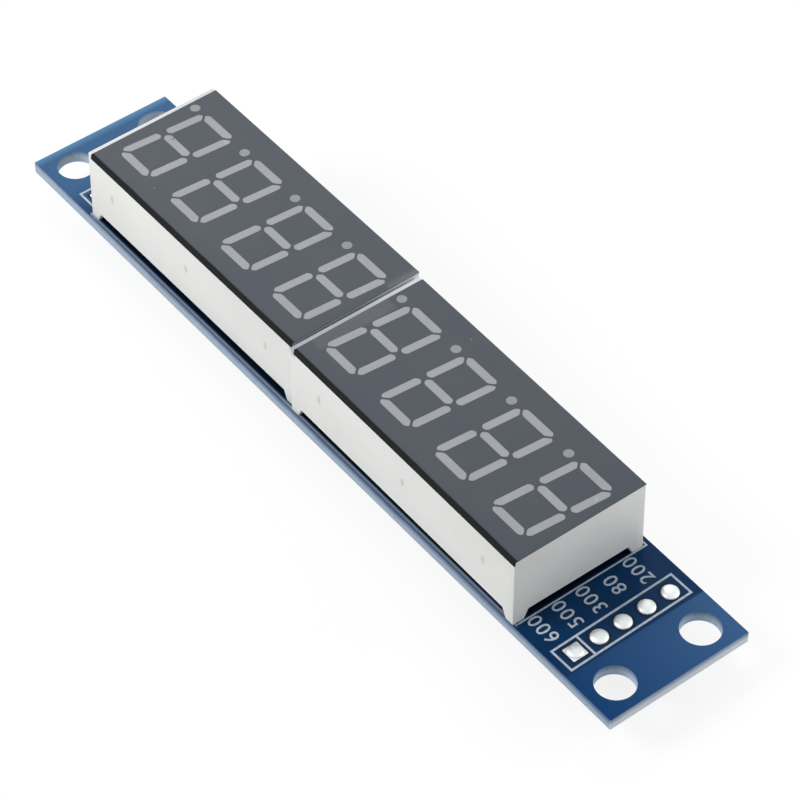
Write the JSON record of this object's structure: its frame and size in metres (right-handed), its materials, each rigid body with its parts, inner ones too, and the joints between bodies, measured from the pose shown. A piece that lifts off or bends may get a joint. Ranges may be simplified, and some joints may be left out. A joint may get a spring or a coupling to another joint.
{
  "type": "seven-segment display module",
  "caption": "Long circuit board with two four-digit seven-segment LED blocks end to end, header pads and bolt holes at both ends and a driver chip underneath.",
  "frame": {"origin": "centre of the four mounting holes, on the board's underside", "axes": "+X along the board from the input header to the output header, +Y to the tops of the digits, +Z out of the display face"},
  "size_m": [0.082, 0.0148, 0.0115],
  "materials": {
    "board_mask": "satin solder mask",
    "tin": "tinned, slightly domed",
    "white_moulding": "smooth",
    "dark_film": "glossy",
    "bar_resin": "milky, unlit",
    "carrier_board": "satin",
    "led_chip": "bare",
    "pin_metal": "tinned",
    "potting_resin": "cast",
    "solder": "bright",
    "chip_moulding": "fine matt",
    "resistor_ceramic": "glazed",
    "capacitor_ceramic": "satin"
  },
  "bodies": {
    "root": {"circuit_board": "board_mask", "input_header_pads": "tin", "output_header_pads": "tin", "left_display_housing": "white_moulding", "left_face_film": "dark_film", "left_carrier_board": "carrier_board", "left_led_chips": "led_chip", "left_display_pins": "pin_metal", "left_back_potting": "potting_resin", "right_display_housing": "white_moulding", "right_face_film": "dark_film", "right_carrier_board": "carrier_board", "right_led_chips": "led_chip", "right_display_pins": "pin_metal", "right_back_potting": "potting_resin", "digit_1_light_bars": "bar_resin", "digit_2_light_bars": "bar_resin", "digit_3_light_bars": "bar_resin", "digit_4_light_bars": "bar_resin", "digit_5_light_bars": "bar_resin", "digit_6_light_bars": "bar_resin", "digit_7_light_bars": "bar_resin", "digit_8_light_bars": "bar_resin", "display_pin_solder": "solder", "driver_chip_body": "chip_moulding", "driver_chip_leads": "pin_metal", "driver_chip_solder": "solder", "set_resistor_body": "resistor_ceramic", "set_resistor_caps": "tin", "bypass_capacitor_body": "capacitor_ceramic", "bypass_capacitor_caps": "tin", "bulk_capacitor_body": "capacitor_ceramic", "bulk_capacitor_caps": "tin", "passive_solder": "solder"}
  },
  "joints": []
}
